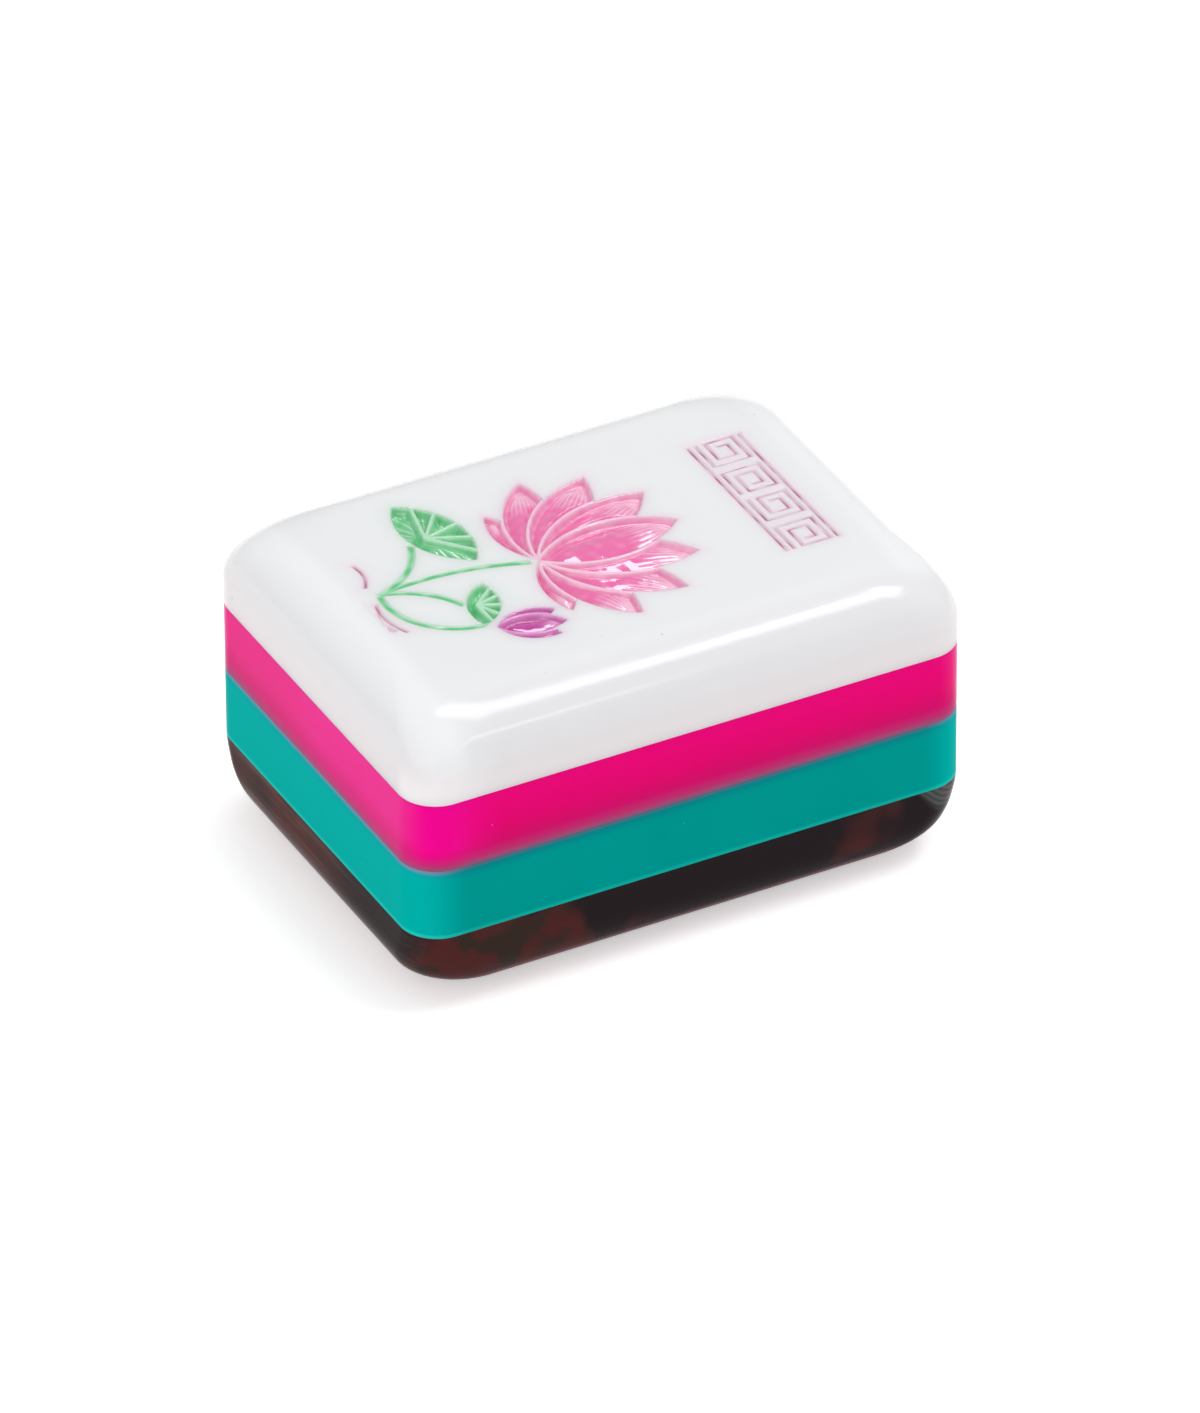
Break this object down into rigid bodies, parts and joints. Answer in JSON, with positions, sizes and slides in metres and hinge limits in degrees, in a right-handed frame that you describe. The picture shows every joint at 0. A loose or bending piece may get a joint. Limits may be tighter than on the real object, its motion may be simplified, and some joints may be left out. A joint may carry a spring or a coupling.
{
  "type": "mahjong tile",
  "caption": "Thick laminated game tile with rounded edges: a white face carved with an enamelled lotus and a key-fret band, over pink, teal and tortoiseshell layers.",
  "frame": {"origin": "centre of the back face, on the surface that the tile lies on", "axes": "+X to the right across the face, +Y up the face in its reading direction, +Z out of the face"},
  "size_m": [0.022, 0.0302, 0.0166],
  "materials": {
    "white_plastic": "polished, slightly milky",
    "pink_clear_plastic": "polished, translucent",
    "teal_plastic": "polished, opaque",
    "tortoiseshell_plastic": "polished, translucent with red-brown clouds",
    "pink_enamel": "glossy dried enamel",
    "pale_pink_enamel": "glossy dried enamel",
    "magenta_enamel": "glossy dried enamel",
    "green_enamel": "glossy dried enamel",
    "mauve_enamel": "thin dried enamel"
  },
  "bodies": {
    "root": {"face_layer": "white_plastic", "pink_layer": "pink_clear_plastic", "teal_layer": "teal_plastic", "back_layer": "tortoiseshell_plastic", "front_petal_enamel": "pink_enamel", "inner_petal_enamel": "pink_enamel", "middle_petal_enamel": "pink_enamel", "outer_petal_enamel": "pale_pink_enamel", "bud_enamel": "magenta_enamel", "leaf_enamel": "green_enamel", "stem_enamel": "green_enamel", "ripple_enamel": "mauve_enamel", "fret_enamel": "mauve_enamel"}
  },
  "joints": []
}
